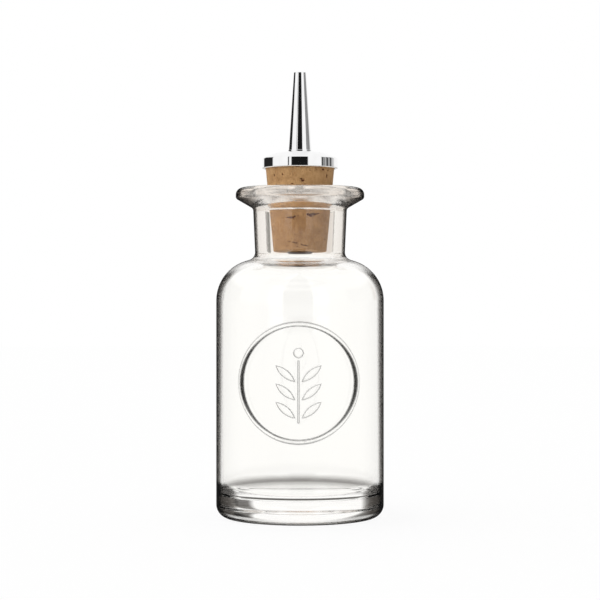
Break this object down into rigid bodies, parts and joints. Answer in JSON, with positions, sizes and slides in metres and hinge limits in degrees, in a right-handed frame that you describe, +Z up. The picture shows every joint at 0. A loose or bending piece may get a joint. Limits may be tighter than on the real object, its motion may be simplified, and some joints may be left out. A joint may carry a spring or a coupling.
{
  "type": "bitters bottle",
  "caption": "Small clear glass bitters bottle with a straight body, round shoulder and flared lip, stopped by a tapered cork that carries a metal dasher spout.",
  "frame": {"origin": "middle of the foot, on the plane that the bottle stands on", "axes": "+Z up along the axis of the bottle to the spout's tip, +X to the right and the medallion facing -Y"},
  "size_m": [0.05, 0.0504, 0.1329],
  "materials": {
    "clear_glass": "polished",
    "natural_cork": "matte",
    "bright_chrome": "mirror",
    "plain_steel": "satin"
  },
  "bodies": {
    "bottle": {"glass_bottle": "clear_glass"},
    "cork": {"cork_stopper": "natural_cork"},
    "dasher": {"dasher_cap": "bright_chrome", "dasher_spout": "bright_chrome", "pour_tube": "plain_steel", "retaining_washer": "plain_steel"}
  },
  "joints": [
    {"name": "stopper_lift", "type": "slide", "parent": "bottle", "child": "cork", "axis": [0, 0, 1], "range_m": [0, 0.03]},
    {"name": "dasher_twist", "type": "hinge", "parent": "cork", "child": "dasher", "pos_m": [0, 0, 0.106], "axis": [0, 0, 1], "continuous": true}
  ]
}
